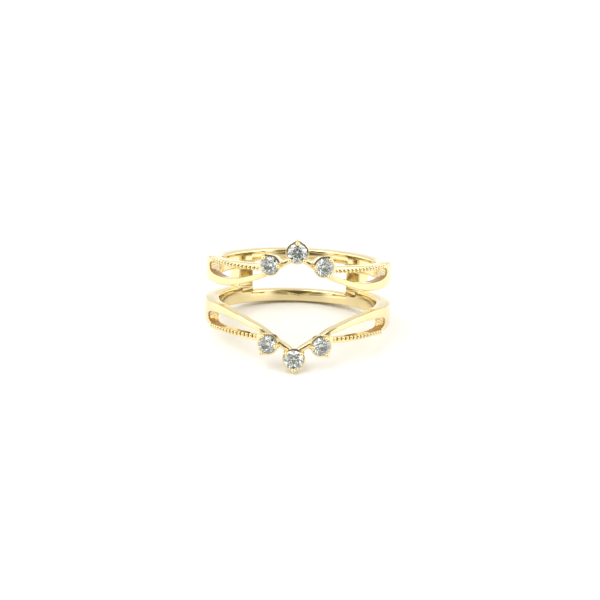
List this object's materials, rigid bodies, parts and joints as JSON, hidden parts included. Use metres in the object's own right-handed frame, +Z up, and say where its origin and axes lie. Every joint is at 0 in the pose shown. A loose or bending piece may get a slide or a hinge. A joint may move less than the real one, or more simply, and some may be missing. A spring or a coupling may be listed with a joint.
{
  "type": "ring guard enhancer",
  "caption": "Yellow gold ring guard: twin split-shoulder bands with stone-set chevrons, open between for a solitaire to be worn inside it.",
  "frame": {"origin": "middle of the bounding box at the height of the table the ring lies on", "axes": "+Y from the chevrons to the plain back, +X to the wearer's right seen from the chevrons, +Z up from the table, about along the finger's axis"},
  "size_m": [0.0204, 0.0227, 0.0141],
  "materials": {
    "gold": "polished yellow gold",
    "stone": "clear faceted diamond"
  },
  "bodies": {
    "root": {"guard_frame": "gold", "upper_centre_stone": "stone", "upper_left_stone": "stone", "upper_right_stone": "stone", "lower_centre_stone": "stone", "lower_left_stone": "stone", "lower_right_stone": "stone"}
  },
  "joints": []
}
